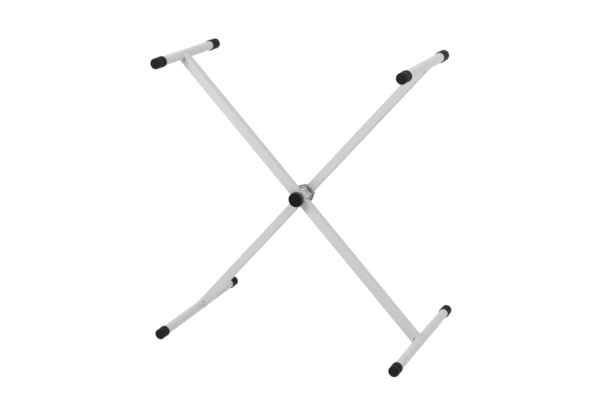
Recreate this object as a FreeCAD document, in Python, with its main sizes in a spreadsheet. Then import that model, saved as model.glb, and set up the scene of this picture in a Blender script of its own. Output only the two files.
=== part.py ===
import FreeCAD, Part
import math
import os
import Sketcher
from FreeCAD import Placement, Rotation, Vector

# A single-X folding keyboard stand, in millimetres. The origin is on the floor below the
# pivot: X runs across the X, Y along the cross bars and the pivot bolt, Z up. Each frame is a
# square tube arm with a round cross bar welded to each coped end. The two frames are alike,
# one turned half a turn about Z, and a toothed clutch on the pivot bolt locks them.

DRIVING_SIZES = [
    ("arm_length", 1000.0, "axis of one cross bar to axis of the other"),
    ("arm_slope", 47.5, "angle of both arms above the floor, degrees"),
    ("arm_width", 25.0, "outer side of the square arm tube"),
    ("arm_wall", 1.5, "wall of the arm tube"),
    ("arm_corner", 3.0, "outer corner radius of the arm tube"),
    ("arm_gap", 18.2, "space between the two arms at the pivot"),
    ("bar_radius", 12.5, "outer radius of the cross bars"),
    ("bar_wall", 1.5, "wall of the cross bars"),
    ("top_bar_length", 332.5, "bare tube, without its caps"),
    ("base_bar_length", 443.0, "bare tube, without its caps"),
    ("weld_gap", 0.05, "root gap between a coped arm end and its bar"),
    ("vent_radius", 2.0, "drain hole by each coped end"),
    ("vent_inset", 3.0, "from the bar's surface to the drain hole's centre"),
    ("cap_radius", 14.5, "end band of a rubber cap"),
    ("collar_radius", 14.9, "thicker mouth of a rubber cap"),
    ("groove_radius", 13.8, "bottom of the groove between band and collar"),
    ("groove_width", 1.6, "width of that groove"),
    ("cap_end", 4.0, "rubber across the end of the bar"),
    ("cap_edge", 1.2, "rounding of the end band's outer edge"),
    ("cap_seat", 0.05, "clearance between a bar and its cap"),
    ("top_cap_length", 37.5, "keyboard rest cap, over all"),
    ("base_cap_length", 30.0, "foot cap, over all"),
    ("collar_length", 13.0, "length of the collar at the cap's mouth"),
    ("bolt_radius", 4.0, "shank of the pivot bolt"),
    ("running_fit", 0.08, "radial clearance of what turns on the bolt"),
    ("bolt_clearance", 0.3, "radial clearance of holes that the bolt only passes"),
    ("bolt_head_radius", 10.0, "domed head behind the rear arm"),
    ("bolt_head_height", 5.0, "height of that head"),
    ("bolt_head_round", 3.6, "rounding of the head's outer edge"),
    ("neck_side", 8.4, "square neck that keeps the bolt from turning"),
    ("neck_length", 5.0, "length of the neck from the rear arm's face inwards"),
    ("neck_fit", 0.05, "clearance around the neck in the rear arm's wall"),
    ("neck_corner_room", 0.35, "between the neck's corners and the sleeve around it"),
    ("bush_wall", 2.0, "nylon bush between the bolt and the front arm"),
    ("bush_seat_fit", 0.05, "clearance around the bush"),
    ("sleeve_wall", 2.0, "spacer sleeve inside an arm tube"),
    ("face_play", 0.1, "play between faces that turn on each other"),
    ("washer_radius", 12.0, "thrust washer under the knob"),
    ("washer_thick", 1.6, "thickness of that washer"),
    ("front_rim_radius", 26.5, "rim of the front clutch half"),
    ("rear_rim_radius", 28.0, "rim of the rear clutch half"),
    ("front_cone_radius", 24.4, "cone of the front half, just behind its rim"),
    ("rear_cone_radius", 27.2, "cone of the rear half, just behind its rim"),
    ("front_ear_radius", 21.6, "the front half's ears, at their tips"),
    ("rear_ear_radius", 24.4, "the rear half's ears, at their tips"),
    ("front_flat", 24.0, "distance of the front half's sloped flats from the axis, at the teeth"),
    ("rear_flat", 27.5, "distance of the rear half's sloped flats from the axis, at the teeth"),
    ("rim_gap", 2.4, "space between the two rims, clutch open"),
    ("rim_chamfer", 0.8, "broken edge of a rim"),
    ("rim_band", 2.6, "thickness of a rim"),
    ("rim_shoulder", 1.2, "length of the slope from a rim down to the cone behind it"),
    ("ear_reach", 15.5, "how far an ear reaches along its arm's side"),
    ("ear_tip_wall", 1.6, "thickness of the front half's ears at their tips"),
    ("channel_fit", 0.1, "clearance between an arm and the channel that holds it"),
    ("tooth_count", 36.0, "face teeth, ten degrees apart"),
    ("tooth_inner", 13.5, "inner radius of the teeth"),
    ("tooth_outer", 21.5, "outer radius of the teeth"),
    ("tooth_height", 2.0, "root to tip"),
    ("tooth_open_gap", 0.4, "space between the tips, clutch open"),
    ("tooth_tip_angle", 0.9, "half width of a tooth at its tip, degrees"),
    ("tooth_root_angle", 4.1, "half width of a tooth at its root, degrees"),
    ("tooth_side_play", 0.3, "space between the teeth and the walls beside them"),
    ("tooth_root_sink", 0.4, "how deep a tooth is rooted in the casting"),
    ("spring_pocket_radius", 10.5, "round pocket for the spring in each half"),
    ("spring_pocket_floor", 3.1, "metal left between the pocket and the arm"),
    ("spring_radius", 8.2, "centre line of the spring wire"),
    ("wire_radius", 0.7, "spring wire"),
    ("spring_turns", 4.0, "turns of the spring"),
    ("spring_end_play", 0.05, "between a spring end and its pocket's floor"),
    ("knob_radius", 20.6, "hand knob, over its ribs"),
    ("knob_height", 19.4, "hand knob, over all"),
    ("knob_hub_radius", 12.0, "boss that bears on the washer"),
    ("knob_hub_height", 3.5, "height of that boss"),
    ("knob_skirt", 1.4, "slope of the back of the grip"),
    ("knob_edge", 3.4, "rounding of the grip's front edge"),
    ("knob_dish_radius", 14.2, "shallow dish in the knob's front face"),
    ("knob_dish_depth", 0.8, "depth of that dish"),
    ("flute_count", 16.0, "finger flutes around the grip"),
    ("flute_radius", 2.8, "radius of a flute"),
    ("flute_depth", 1.3, "how deep a flute cuts in"),
    ("insert_radius", 6.5, "threaded insert in the knob"),
    ("insert_length", 12.0, "length of that insert"),
    ("insert_seat", 0.02, "clearance around the insert"),
    ("bolt_in_knob", 13.5, "how far the bolt reaches into the knob, clutch open"),
    ("bolt_end_room", 2.6, "bore left beyond the bolt's end, clutch open"),
    ("bolt_point", 0.8, "chamfer at the bolt's end"),
]

WORKED_OUT_SIZES = [
    ("half_length", "arm_length / 2"),
    ("arm_lean", "90 - arm_slope"),
    ("bar_reach", "half_length * cos(arm_slope)"),
    ("bar_rise", "half_length * sin(arm_slope)"),
    ("pivot_height", "bar_rise + collar_radius"),
    ("top_bar_height", "pivot_height + bar_rise"),
    ("base_bar_height", "pivot_height - bar_rise"),
    ("half_gap", "arm_gap / 2"),
    ("arm_offset", "half_gap + arm_width / 2"),
    ("outer_face", "half_gap + arm_width"),
    ("arm_inside", "arm_width - 2 * arm_wall"),
    ("arm_inner_corner", "arm_corner - arm_wall"),
    ("cope_radius", "bar_radius + weld_gap"),
    ("vent_place", "half_length - bar_radius - vent_inset"),
    ("bar_bore", "bar_radius - bar_wall"),
    ("top_cap_place", "top_bar_length / 2 + cap_end"),
    ("base_cap_place", "base_bar_length / 2 + cap_end"),
    ("cap_bore", "bar_radius + cap_seat"),
    ("bolt_hole", "bolt_radius + bolt_clearance"),
    ("running_bore", "bolt_radius + running_fit"),
    ("bush_radius", "running_bore + bush_wall"),
    ("bush_seat", "bush_radius + bush_seat_fit"),
    ("neck_hole", "neck_side + 2 * neck_fit"),
    ("neck_room", "neck_side / sqrt(2) + neck_corner_room"),
    ("washer_place", "outer_face + face_play"),
    ("knob_place", "washer_place + washer_thick + face_play"),
    ("rim_face", "rim_gap / 2"),
    ("rim_break", "rim_face + rim_chamfer"),
    ("rim_back", "rim_face + rim_band"),
    ("cone_start", "rim_back + rim_shoulder"),
    ("seat_face", "half_gap - weld_gap"),
    ("ear_end", "half_gap + ear_reach"),
    ("channel_half", "arm_width / 2 + channel_fit"),
    ("ear_tip_flat", "channel_half + ear_tip_wall"),
    ("tooth_tip", "tooth_open_gap / 2"),
    ("tooth_root", "tooth_tip + tooth_height"),
    ("tooth_base", "tooth_root + tooth_root_sink"),
    ("trough_inner", "tooth_inner - tooth_side_play"),
    ("trough_outer", "tooth_outer + tooth_side_play"),
    ("tip_half_inner", "tooth_inner * tan(tooth_tip_angle)"),
    ("root_half_inner", "tooth_inner * tan(tooth_root_angle)"),
    ("tip_half_outer", "tooth_outer * tan(tooth_tip_angle)"),
    ("root_half_outer", "tooth_outer * tan(tooth_root_angle)"),
    ("pocket_floor", "half_gap - spring_pocket_floor"),
    ("cut_reach", "front_rim_radius + rear_rim_radius"),
    ("insert_bore", "insert_radius + insert_seat"),
    ("bolt_tip", "knob_place + bolt_in_knob"),
    ("knob_bore_end", "bolt_in_knob + bolt_end_room"),
    ("flute_place", "knob_radius + flute_radius - flute_depth"),
    ("top_cap_length_collar", "top_cap_length - collar_length"),
    ("top_cap_length_band", "top_cap_length_collar - groove_width"),
    ("base_cap_length_collar", "base_cap_length - collar_length"),
    ("base_cap_length_band", "base_cap_length_collar - groove_width"),
    ("front_rim_radius_broken", "front_rim_radius - rim_chamfer"),
    ("rear_rim_radius_broken", "rear_rim_radius - rim_chamfer"),
    ("flat_slope", "(front_flat - ear_tip_flat) / ear_end"),
    ("front_flat_far", "front_flat - flat_slope * cut_reach"),
    ("rear_flat_far", "rear_flat - flat_slope * cut_reach"),
    ("bolt_end_radius", "bolt_radius - bolt_point"),
    ("bolt_chamfer_end", "bolt_tip - bolt_point"),
    ("head_top", "outer_face + bolt_head_height"),
    ("rear_sleeve_radius", "neck_room + sleeve_wall"),
    ("front_sleeve_radius", "bush_seat + sleeve_wall"),
    ("sleeve_start", "half_gap + arm_wall"),
    ("sleeve_end", "outer_face - arm_wall"),
    ("washer_front", "washer_place + washer_thick"),
    ("knob_skirt_end", "knob_hub_height + knob_skirt"),
    ("knob_dish_floor", "knob_height - knob_dish_depth"),
]

doc = FreeCAD.newDocument("keyboard_stand")
sheet = doc.addObject("Spreadsheet::Sheet", "sizes")
for row, (alias, value, note) in enumerate(DRIVING_SIZES, start=1):
    sheet.set(f"A{row}", note)
    sheet.set(f"B{row}", str(value))
    sheet.setAlias(f"B{row}", alias)
for row, (alias, formula) in enumerate(WORKED_OUT_SIZES, start=1):
    sheet.set(f"C{row}", "=" + formula)
    sheet.setAlias(f"C{row}", alias)
doc.recompute()

PARTS = []
NEAR = 0.01  # how far from its stated place an edge may lie and still be picked


def size(name):
    """A size from the sheet; a leading minus turns its sign and 0 is nought."""
    if name == "0":
        return 0.0
    if name.startswith("-"):
        return -size(name[1:])
    return float(getattr(sheet, name))


def bind(thing, path, name):
    """Tie one property to a size in the sheet."""
    sign = "-" if name.startswith("-") else ""
    thing.setExpression(path, f"{sign}sizes.{name.lstrip('-')}")


def new_body(label):
    """One separate piece of the stand."""
    body = doc.addObject("PartDesign::Body", label)
    body.Label = label
    PARTS.append(body)
    return body


def place(part, along_x="0", along_y="0", along_z="0", lean="0"):
    """Put a piece at its seat; lean turns it about Y, towards +X at the top."""
    part.Placement = Placement(Vector(), Rotation(Vector(0, 1, 0), size(lean)))
    for axis, name in (("x", along_x), ("y", along_y), ("z", along_z)):
        if name != "0":
            bind(part, f".Placement.Base.{axis}", name)
    if lean != "0":
        bind(part, ".Placement.Rotation.Angle", lean)


def sketch_on(body, name, role, raised="0"):
    """A sketch on one of the body's own origin planes, raised along its normal."""
    sketch = body.newObject("Sketcher::SketchObject", name)
    plane = next(f for f in body.Origin.OriginFeatures if f.Role == role)
    sketch.AttachmentSupport = [(plane, "")]
    sketch.MapMode = "FlatFace"
    if raised != "0":
        bind(sketch, ".AttachmentOffset.Base.z", raised)
    return sketch


def pin(sketch, edge, end, across, up):
    """Hold one end of an edge, or a circle's centre, at named distances from the origin."""
    for kind, name, axis in (("DistanceX", across, -2), ("DistanceY", up, -1)):
        if name == "0":
            sketch.addConstraint(Sketcher.Constraint("PointOnObject", edge, end, axis))
            continue
        order = (edge, end, -1, 1) if name.startswith("-") else (-1, 1, edge, end)
        alias = name.lstrip("-")
        index = sketch.addConstraint(Sketcher.Constraint(kind, *order, size(alias)))
        bind(sketch, f"Constraints[{index}]", alias)


def polygon(sketch, corners):
    """Straight edges through named corners, closed."""
    points = [Vector(size(across), size(up), 0) for across, up in corners]
    count = len(points)
    edges = []
    for i in range(count):
        line = Part.LineSegment(points[i], points[(i + 1) % count])
        edges.append(sketch.addGeometry(line, False))
    for i in range(count):
        following = edges[(i + 1) % count]
        sketch.addConstraint(Sketcher.Constraint("Coincident", edges[i], 2, following, 1))
        pin(sketch, edges[i], 1, *corners[i])
    return edges


def circle(sketch, radius, across="0", up="0"):
    """A circle of a named radius about a named point."""
    centre = Vector(size(across), size(up), 0)
    rim = sketch.addGeometry(Part.Circle(centre, Vector(0, 0, 1), size(radius)), False)
    pin(sketch, rim, 3, across, up)
    index = sketch.addConstraint(Sketcher.Constraint("Radius", rim, size(radius)))
    bind(sketch, f"Constraints[{index}]", radius)


def square(sketch, side):
    """A square of a named side about the origin."""
    half = size(side) / 2
    corners = [Vector(x * half, y * half, 0) for x, y in ((-1, -1), (1, -1), (1, 1), (-1, 1))]
    edges = []
    for i in range(4):
        line = Part.LineSegment(corners[i], corners[(i + 1) % 4])
        edges.append(sketch.addGeometry(line, False))
    for i in range(4):
        following = edges[(i + 1) % 4]
        sketch.addConstraint(Sketcher.Constraint("Coincident", edges[i], 2, following, 1))
        kind = "Horizontal" if i % 2 == 0 else "Vertical"
        sketch.addConstraint(Sketcher.Constraint(kind, edges[i]))
    sketch.addConstraint(Sketcher.Constraint("Symmetric", edges[0], 1, edges[2], 1, -1, 1))
    for kind, edge in (("DistanceX", edges[0]), ("DistanceY", edges[1])):
        index = sketch.addConstraint(Sketcher.Constraint(kind, edge, 1, edge, 2, 2 * half))
        bind(sketch, f"Constraints[{index}]", side)
    return edges


def pad(body, name, sketch, length):
    """Material to both sides of a sketch, of a named length over all."""
    feature = body.newObject("PartDesign::Pad", name)
    feature.Profile = sketch
    feature.SideType = "Symmetric"
    bind(feature, "Length", length)
    return feature


def pocket(body, name, sketch, length=None):
    """A cut: right through both ways, or a named depth towards the sketch's back."""
    feature = body.newObject("PartDesign::Pocket", name)
    feature.Profile = sketch
    if length is None:
        feature.Type = "ThroughAll"
        feature.SideType = "Symmetric"
    else:
        bind(feature, "Length", length)
    return feature


def revolved(label, corners):
    """A round piece about Y, from its half outline."""
    body = new_body(label)
    sketch = sketch_on(body, label + "_outline", "XY_Plane")
    polygon(sketch, corners)
    turn = body.newObject("PartDesign::Revolution", label + "_turned")
    turn.Profile = sketch
    turn.ReferenceAxis = (sketch, ["V_Axis"])
    turn.Angle = 360
    return body


def round_edges(body, name, radius, wanted):
    """Round the edges that wanted picks out of the finished shape so far."""
    doc.recompute()
    tip = body.Tip
    picked = []
    for i, edge in enumerate(tip.Shape.Edges, start=1):
        if wanted(edge):
            picked.append(f"Edge{i}")
    fillet = body.newObject("PartDesign::Fillet", name)
    fillet.Base = (tip, picked)
    bind(fillet, "Radius", radius)
    return fillet


def pattern(body, name, original, occurrences):
    """Copies of a feature evenly around the body's Y axis."""
    copies = body.newObject("PartDesign::PolarPattern", name)
    copies.Originals = [original]
    axis = next(f for f in body.Origin.OriginFeatures if f.Role == "Y_Axis")
    copies.Axis = (axis, [""])
    copies.Angle = 360
    bind(copies, "Occurrences", occurrences)
    body.Tip = copies
    return copies


def ring(label, bore, radius, start, end):
    """A plain tube about Y between two named places."""
    return revolved(label, [(bore, start), (radius, start), (radius, end), (bore, end)])


def square_tube(label):
    """One arm: square tube, coped to the bars at both ends, with its drain holes."""
    body = new_body(label)
    section = sketch_on(body, label + "_section", "XY_Plane")
    square(section, "arm_width")
    pad(body, label + "_stock", section, "arm_length")
    outer = size("arm_width") / 2
    round_edges(body, label + "_corners", "arm_corner", lambda edge: is_long_corner(edge, outer))
    inside = sketch_on(body, label + "_inside", "XY_Plane")
    square(inside, "arm_inside")
    pocket(body, label + "_hollow", inside)
    inner = size("arm_inside") / 2
    round_edges(body, label + "_inner_corners", "arm_inner_corner",
                lambda edge: is_long_corner(edge, inner))
    cope = sketch_on(body, label + "_cope", "XZ_Plane")
    circle(cope, "cope_radius", up="half_length")
    circle(cope, "cope_radius", up="-half_length")
    pocket(body, label + "_coped", cope)
    vents = sketch_on(body, label + "_vents", "XZ_Plane")
    circle(vents, "vent_radius", up="vent_place")
    circle(vents, "vent_radius", up="-vent_place")
    pocket(body, label + "_drilled", vents)
    return body


def is_long_corner(edge, half):
    """True for an edge along the tube at a corner of a square that reaches half to each side."""
    start = edge.Vertexes[0].Point
    end = edge.Vertexes[-1].Point
    runs_along = abs(start.z - end.z) > abs(start.x - end.x) + abs(start.y - end.y)
    at_corner = abs(abs(start.x) - half) < NEAR and abs(abs(start.y) - half) < NEAR
    return runs_along and at_corner


def is_circle_at(edge, radius, height):
    """True for a whole circle of that radius at that place along Y."""
    if not isinstance(edge.Curve, Part.Circle):
        return False
    same_radius = abs(edge.Curve.Radius - radius) < NEAR
    return same_radius and abs(edge.Curve.Center.y - height) < NEAR


# ---- arms: square tube, alike but for what passes through the pivot hole ----

rear_arm = square_tube("rear_arm_tube")
rear_hole = sketch_on(rear_arm, "rear_arm_bolt_hole", "XZ_Plane")
circle(rear_hole, "bolt_hole")
pocket(rear_arm, "rear_arm_bolt_drilled", rear_hole)
neck_slot = sketch_on(rear_arm, "rear_arm_neck_hole", "XZ_Plane")
square(neck_slot, "neck_hole")
pocket(rear_arm, "rear_arm_neck_punched", neck_slot, "arm_width")
place(rear_arm, along_y="arm_offset", along_z="pivot_height", lean="arm_lean")

front_arm = square_tube("front_arm_tube")
front_hole = sketch_on(front_arm, "front_arm_bush_hole", "XZ_Plane")
circle(front_hole, "bush_seat")
pocket(front_arm, "front_arm_bush_drilled", front_hole)
place(front_arm, along_y="-arm_offset", along_z="pivot_height", lean="-arm_lean")

# ---- cross bars: round tube, welded across the coped arm ends ----


def cross_bar(label, length, along_x, along_z):
    """A round tube along Y, centred between its two caps."""
    body = new_body(label)
    section = sketch_on(body, label + "_section", "XZ_Plane")
    circle(section, "bar_radius")
    circle(section, "bar_bore")
    pad(body, label + "_stock", section, length)
    place(body, along_x=along_x, along_z=along_z)
    return body


cross_bar("left_top_bar", "top_bar_length", "-bar_reach", "top_bar_height")
cross_bar("right_top_bar", "top_bar_length", "bar_reach", "top_bar_height")
cross_bar("left_base_bar", "base_bar_length", "-bar_reach", "base_bar_height")
cross_bar("right_base_bar", "base_bar_length", "bar_reach", "base_bar_height")

# ---- rubber caps: keyboard rests on the top bars, feet on the base bars ----


def rubber_cap(label, length, along_x, along_y, along_z, outward):
    """A push-on cap, open inwards; outward is -1 at the front end of a bar and 1 at the rear."""
    body = new_body(label)
    mark = "-" if outward > 0 else ""
    band_end = mark + length + "_band"
    collar_start = mark + length + "_collar"
    mouth = mark + length
    outline = sketch_on(body, label + "_outline", "XY_Plane")
    polygon(outline, [
        ("0", "0"), ("cap_radius", "0"), ("cap_radius", band_end), ("groove_radius", band_end),
        ("groove_radius", collar_start), ("collar_radius", collar_start),
        ("collar_radius", mouth), ("cap_bore", mouth), ("cap_bore", mark + "cap_end"),
        ("0", mark + "cap_end"),
    ])
    turn = body.newObject("PartDesign::Revolution", label + "_moulded")
    turn.Profile = outline
    turn.ReferenceAxis = (outline, ["V_Axis"])
    turn.Angle = 360
    edge_radius = size("cap_radius")
    round_edges(body, label + "_edge", "cap_edge", lambda edge: is_circle_at(edge, edge_radius, 0))
    place(body, along_x=along_x, along_y=along_y, along_z=along_z)
    return body


for bar, reach in (("left", "-bar_reach"), ("right", "bar_reach")):
    for level, height in (("top", "top_bar_height"), ("base", "base_bar_height")):
        for end, outward in (("front", -1), ("rear", 1)):
            sign = "-" if outward < 0 else ""
            rubber_cap(
                f"{bar}_{level}_{end}_cap", f"{level}_cap_length", reach,
                f"{sign}{level}_cap_place", height, outward,
            )

# ---- clutch: two cast halves with face teeth, each saddled on its arm by two ears ----


def clutch_half(end):
    """One half: a toothed rim on a cone, and two ears with sloped flats that hold its arm.

    end is front or rear: the front half's arm lies towards -Y, the rear half's towards +Y.
    """
    label = end + "_clutch_half"
    mark = "" if end == "rear" else "-"
    rim_radius = end + "_rim_radius"
    flat_start = end + "_flat"
    body = revolved(label, [
        ("bolt_hole", mark + "pocket_floor"), ("spring_pocket_radius", mark + "pocket_floor"),
        ("spring_pocket_radius", mark + "rim_face"), ("trough_inner", mark + "rim_face"),
        ("trough_inner", mark + "tooth_root"), ("trough_outer", mark + "tooth_root"),
        ("trough_outer", mark + "rim_face"), (rim_radius + "_broken", mark + "rim_face"),
        (rim_radius, mark + "rim_break"), (rim_radius, mark + "rim_back"),
        (end + "_cone_radius", mark + "cone_start"), (end + "_ear_radius", mark + "ear_end"),
        ("bolt_hole", mark + "ear_end"),
    ])
    channel = sketch_on(body, label + "_channel", "XY_Plane")
    polygon(channel, [
        ("-channel_half", mark + "seat_face"), ("channel_half", mark + "seat_face"),
        ("channel_half", mark + "cut_reach"), ("-channel_half", mark + "cut_reach"),
    ])
    pocket(body, label + "_channel_cut", channel)
    for wing, sign in (("right", ""), ("left", "-")):
        flat = sketch_on(body, f"{label}_{wing}_flat", "XY_Plane")
        polygon(flat, [
            (sign + flat_start, "0"), (sign + "cut_reach", "0"),
            (sign + "cut_reach", mark + "cut_reach"),
            (sign + flat_start + "_far", mark + "cut_reach"),
        ])
        pocket(body, f"{label}_{wing}_flat_cut", flat)
    sections = []
    for place_name, tip_half, root_half in (
        ("tooth_inner", "tip_half_inner", "root_half_inner"),
        ("tooth_outer", "tip_half_outer", "root_half_outer"),
    ):
        section = sketch_on(body, f"{label}_{place_name}", "XY_Plane", raised=place_name)
        polygon(section, [
            ("-" + tip_half, mark + "tooth_tip"), (tip_half, mark + "tooth_tip"),
            (root_half, mark + "tooth_root"), (root_half, mark + "tooth_base"),
            ("-" + root_half, mark + "tooth_base"), ("-" + root_half, mark + "tooth_root"),
        ])
        sections.append(section)
    tooth = body.newObject("PartDesign::AdditiveLoft", label + "_tooth")
    tooth.Profile = sections[0]
    tooth.Sections = [sections[1]]
    tooth.Ruled = True
    doc.recompute()
    pattern(body, label + "_teeth", tooth, "tooth_count")
    return body


rear_half = clutch_half("rear")
place(rear_half, along_z="pivot_height", lean="arm_lean")
front_half = clutch_half("front")
place(front_half, along_z="pivot_height", lean="-arm_lean")

# ---- pivot: bolt, sleeves, bush and washer ----

bolt = revolved("pivot_bolt", [
    ("0", "-bolt_tip"), ("bolt_end_radius", "-bolt_tip"), ("bolt_radius", "-bolt_chamfer_end"),
    ("bolt_radius", "outer_face"), ("bolt_head_radius", "outer_face"),
    ("bolt_head_radius", "head_top"), ("0", "head_top"),
])
head_radius = size("bolt_head_radius")
head_top = size("head_top")
round_edges(bolt, "pivot_bolt_dome", "bolt_head_round",
            lambda edge: is_circle_at(edge, head_radius, head_top))
# the neck's plane faces the front, so the neck grows inwards from under the head
neck = sketch_on(bolt, "pivot_bolt_neck", "XZ_Plane", raised="-outer_face")
square(neck, "neck_side")
neck_pad = bolt.newObject("PartDesign::Pad", "pivot_bolt_neck_forged")
neck_pad.Profile = neck
bind(neck_pad, "Length", "neck_length")
place(bolt, along_z="pivot_height", lean="arm_lean")

rear_sleeve = ring("rear_arm_sleeve", "neck_room", "rear_sleeve_radius", "sleeve_start",
                   "sleeve_end")
place(rear_sleeve, along_z="pivot_height")
front_sleeve = ring("front_arm_sleeve", "bush_seat", "front_sleeve_radius", "-sleeve_end",
                    "-sleeve_start")
place(front_sleeve, along_z="pivot_height")
bush = ring("pivot_bush", "running_bore", "bush_radius", "-outer_face", "-half_gap")
place(bush, along_z="pivot_height")
washer = ring("thrust_washer", "running_bore", "washer_radius", "-washer_front", "-washer_place")
place(washer, along_z="pivot_height")

# ---- hand knob: fluted moulding with a threaded insert ----

knob = revolved("knob", [
    ("insert_bore", "0"), ("knob_hub_radius", "0"), ("knob_hub_radius", "-knob_hub_height"),
    ("knob_radius", "-knob_skirt_end"), ("knob_radius", "-knob_height"),
    ("knob_dish_radius", "-knob_height"), ("knob_dish_radius", "-knob_dish_floor"),
    ("0", "-knob_dish_floor"), ("0", "-knob_bore_end"), ("bolt_hole", "-knob_bore_end"),
    ("bolt_hole", "-insert_length"), ("insert_bore", "-insert_length"),
])
rim = size("knob_radius")
front = -size("knob_height")
round_edges(knob, "knob_front_edge", "knob_edge", lambda edge: is_circle_at(edge, rim, front))
flute = sketch_on(knob, "knob_flute", "XZ_Plane")
circle(flute, "flute_radius", up="flute_place")
flute_cut = pocket(knob, "knob_flute_cut", flute)
doc.recompute()
pattern(knob, "knob_flutes", flute_cut, "flute_count")
place(knob, along_y="-knob_place", along_z="pivot_height")
insert = ring("knob_insert", "running_bore", "insert_radius", "-insert_length", "0")
place(insert, along_y="-knob_place", along_z="pivot_height")

# ---- clutch spring: round wire wound about the bolt, between the two pockets ----


def helix_point(turn, radius, lead, start):
    """A point of the spring's centre line after so many turns, and its direction there."""
    angle = 2 * math.pi * turn
    point = Vector(radius * math.cos(angle), start + lead * turn, radius * math.sin(angle))
    along = Vector(-math.sin(angle) * radius, lead / (2 * math.pi), math.cos(angle) * radius)
    return point, along.normalize()


def biarc(start, start_way, end, end_way):
    """Two arcs that leave one point and reach another in the directions given."""
    chord = end - start
    both = start_way + end_way
    a = 2 * (1 - start_way.dot(end_way))
    b = 2 * chord.dot(both)
    c = -chord.dot(chord)
    reach = (-b + math.sqrt(b * b - 4 * a * c)) / (2 * a)
    first_corner = start + start_way * reach
    last_corner = end - end_way * reach
    middle = (first_corner + last_corner) * 0.5
    return [arc(start, first_corner, middle), arc(middle, last_corner, end)]


def arc(start, corner, end):
    """The arc that touches start-corner at start and corner-end at end."""
    half = (end - start).getAngle(corner - start)
    chord_middle = (start + end) * 0.5
    crown = chord_middle + (corner - chord_middle) * (math.cos(half) / (1 + math.cos(half)))
    return Part.Arc(start, crown, end).toShape()


spring_reach = size("pocket_floor") - size("wire_radius") - size("spring_end_play")
spring_lead = 2 * spring_reach / size("spring_turns")
quarters = round(4 * size("spring_turns"))
edges = []
for quarter in range(quarters):
    begin, begin_way = helix_point(quarter / 4, size("spring_radius"), spring_lead, -spring_reach)
    finish, finish_way = helix_point(
        (quarter + 1) / 4, size("spring_radius"), spring_lead, -spring_reach)
    edges += biarc(begin, begin_way, finish, finish_way)
spring_path = Part.Wire(edges)
first_point, first_way = helix_point(0, size("spring_radius"), spring_lead, -spring_reach)
wire_end = Part.Wire([Part.makeCircle(size("wire_radius"), first_point, first_way)])
spring = doc.addObject("Part::Feature", "clutch_spring")
spring.Label = "clutch_spring"
spring.Shape = spring_path.makePipeShell([wire_end], True, False)
PARTS.append(spring)
place(spring, along_z="pivot_height")

# ---- checks and export ----

doc.recompute()
for thing in doc.Objects:
    if "Invalid" in thing.State or "Error" in thing.State:
        raise RuntimeError(f"{thing.Name} failed: {thing.State}")
os.makedirs("parts", exist_ok=True)
for part in PARTS:
    if part.Shape.isNull() or not part.Shape.isValid() or part.Shape.Volume <= 0:
        raise RuntimeError(f"{part.Label} is not a valid solid")
for part in PARTS:
    part.Shape.exportStep(f"parts/{part.Label}.step")
    print(f"{part.Label}: {len(part.Shape.Solids)} solid, {part.Shape.Volume / 1000:.2f} cm3")
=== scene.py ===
import math

import bmesh
import bpy
from mathutils import Matrix, Vector


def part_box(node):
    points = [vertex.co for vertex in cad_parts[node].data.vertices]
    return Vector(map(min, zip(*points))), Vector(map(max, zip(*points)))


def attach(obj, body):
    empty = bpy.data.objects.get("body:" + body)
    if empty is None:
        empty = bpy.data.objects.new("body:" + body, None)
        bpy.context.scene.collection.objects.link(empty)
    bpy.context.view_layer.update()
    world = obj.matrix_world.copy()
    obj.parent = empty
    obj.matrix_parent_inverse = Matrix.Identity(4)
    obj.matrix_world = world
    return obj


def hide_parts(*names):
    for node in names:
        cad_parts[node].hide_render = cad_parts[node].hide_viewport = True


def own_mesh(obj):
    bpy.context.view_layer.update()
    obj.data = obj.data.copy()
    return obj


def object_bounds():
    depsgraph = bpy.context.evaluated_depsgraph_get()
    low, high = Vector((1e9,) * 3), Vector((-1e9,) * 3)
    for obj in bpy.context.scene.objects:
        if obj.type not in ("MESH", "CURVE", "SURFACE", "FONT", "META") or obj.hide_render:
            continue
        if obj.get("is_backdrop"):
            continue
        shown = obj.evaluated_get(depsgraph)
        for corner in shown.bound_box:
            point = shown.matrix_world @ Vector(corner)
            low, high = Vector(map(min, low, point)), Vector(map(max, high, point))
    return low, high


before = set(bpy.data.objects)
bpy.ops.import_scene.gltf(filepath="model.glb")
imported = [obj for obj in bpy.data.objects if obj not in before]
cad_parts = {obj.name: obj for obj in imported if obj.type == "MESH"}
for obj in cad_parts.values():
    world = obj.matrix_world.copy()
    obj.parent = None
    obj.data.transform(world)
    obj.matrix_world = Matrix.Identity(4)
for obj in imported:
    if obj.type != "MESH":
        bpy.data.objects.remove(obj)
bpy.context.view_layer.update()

# ---- arms ----
# Two 25 mm square steel tubes cross at the pivot. Each end is cut to a saddle that fits the
# round bar it is welded to, with a drain hole beside it. Both are powder coated off-white, a
# satin skin with a fine orange peel. Inside and in the drain holes they are bare steel, given a
# near-black tone that also paints the shade within the tube.

arm_corner = 0.003
arm_wall = 0.0015
saddle_gap = 0.00005
drain_radius = 0.0020
drain_inset = 0.003
drill_segments = 40
bush_hole = 0.00613
bolt_hole = 0.0043
paint_peel_size = 0.0024
paint_peel_depth = 0.000004
paint_patch_size = 0.055
paint_sheen = 0.30
paint_roughness = (0.26, 0.36)
paint_tones = ((0.690, 0.684, 0.694, 1.0), (0.700, 0.694, 0.684, 1.0))
steel_grain_size = 0.0008
steel_grain_depth = 0.00002
steel_roughness = (0.55, 0.75)
# Bare steel, but near black: the tone also paints the shade inside the tube and its drain holes.
steel_shade_tones = ((0.016, 0.015, 0.015, 1.0), (0.040, 0.038, 0.036, 1.0))
patch_per_grain = 12


def middle(node):
    """The centre of a CAD node's box."""
    low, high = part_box(node)
    return (low + high) / 2


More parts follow.
